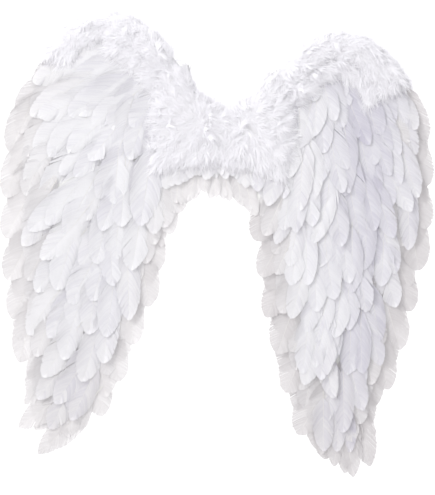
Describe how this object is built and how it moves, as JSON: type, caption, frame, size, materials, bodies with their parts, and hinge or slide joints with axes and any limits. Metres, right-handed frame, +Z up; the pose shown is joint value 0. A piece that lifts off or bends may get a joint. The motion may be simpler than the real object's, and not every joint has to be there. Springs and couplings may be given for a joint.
{
  "type": "costume wings",
  "caption": "Pair of feathered costume wings that fold at a padded centre board worn with two elastic shoulder straps.",
  "frame": {"origin": "middle of the back pad's outer flat face, which rests on the wearer's back", "axes": "+Y out of the back pad's face, towards the wearer; +Z up, along the wings' longest extent; +X to the wearer's right; the feathers face -Y"},
  "size_m": [0.7082, 0.143, 0.7335],
  "materials": {
    "foam_board": "matt white foam-cored card",
    "felt": "white pressed felt",
    "cotton": "woven cotton tape",
    "steel": "drawn galvanised wire",
    "elastic": "ribbed white elastic",
    "flight_feather": "single layer of feathers, soft sheen, warm grey where thin",
    "covert_feather": "overlapping white feathers, soft sheen",
    "down": "fluffy white down"
  },
  "bodies": {
    "centre": {"centre_board": "foam_board", "back_pad": "felt", "left_spine_sleeve": "cotton", "right_spine_sleeve": "cotton", "upper_strap_patch": "felt", "lower_strap_patch": "felt", "centre_feathers_lower": "flight_feather", "centre_feathers_upper": "covert_feather", "centre_fluff": "down"},
    "left_wing": {"left_frame_wire": "steel", "left_frame_crimp": "steel", "left_wing_backing": "foam_board", "left_wing_lining": "felt", "left_outer_flight_feathers": "flight_feather", "left_inner_flight_feathers": "flight_feather", "left_leading_fluff": "down", "left_covert_fluff": "down", "left_feather_row_1": "covert_feather", "left_feather_row_2": "covert_feather", "left_feather_row_3": "covert_feather", "left_feather_row_4": "covert_feather", "left_feather_row_5": "covert_feather", "left_feather_row_6": "covert_feather", "left_feather_row_7": "covert_feather", "left_feather_row_8": "covert_feather", "left_feather_row_9": "covert_feather", "left_feather_row_10": "covert_feather"},
    "right_wing": {"right_frame_wire": "steel", "right_frame_crimp": "steel", "right_wing_backing": "foam_board", "right_wing_lining": "felt", "right_outer_flight_feathers": "flight_feather", "right_inner_flight_feathers": "flight_feather", "right_leading_fluff": "down", "right_covert_fluff": "down", "right_feather_row_1": "covert_feather", "right_feather_row_2": "covert_feather", "right_feather_row_3": "covert_feather", "right_feather_row_4": "covert_feather", "right_feather_row_5": "covert_feather", "right_feather_row_6": "covert_feather", "right_feather_row_7": "covert_feather", "right_feather_row_8": "covert_feather", "right_feather_row_9": "covert_feather", "right_feather_row_10": "covert_feather"},
    "left_strap": {"left_shoulder_strap": "elastic"},
    "right_strap": {"right_shoulder_strap": "elastic"}
  },
  "joints": [
    {"name": "left_wing_fold", "type": "hinge", "parent": "centre", "child": "left_wing", "pos_m": [-0.054, -0.008, 0], "axis": [0, 0, 1], "range_deg": [-20, 80]},
    {"name": "right_wing_fold", "type": "hinge", "parent": "centre", "child": "right_wing", "pos_m": [0.054, -0.008, 0], "axis": [0, 0, -1], "range_deg": [-20, 80]},
    {"name": "left_strap_swing", "type": "hinge", "parent": "centre", "child": "left_strap", "pos_m": [-0.028, -0.0041, 0], "axis": [0, 0, 1], "range_deg": [-8, 30], "stiffness_Nm_per_rad": 0.02},
    {"name": "right_strap_swing", "type": "hinge", "parent": "centre", "child": "right_strap", "pos_m": [0.028, -0.0041, 0], "axis": [0, 0, -1], "range_deg": [-8, 30], "stiffness_Nm_per_rad": 0.02}
  ]
}
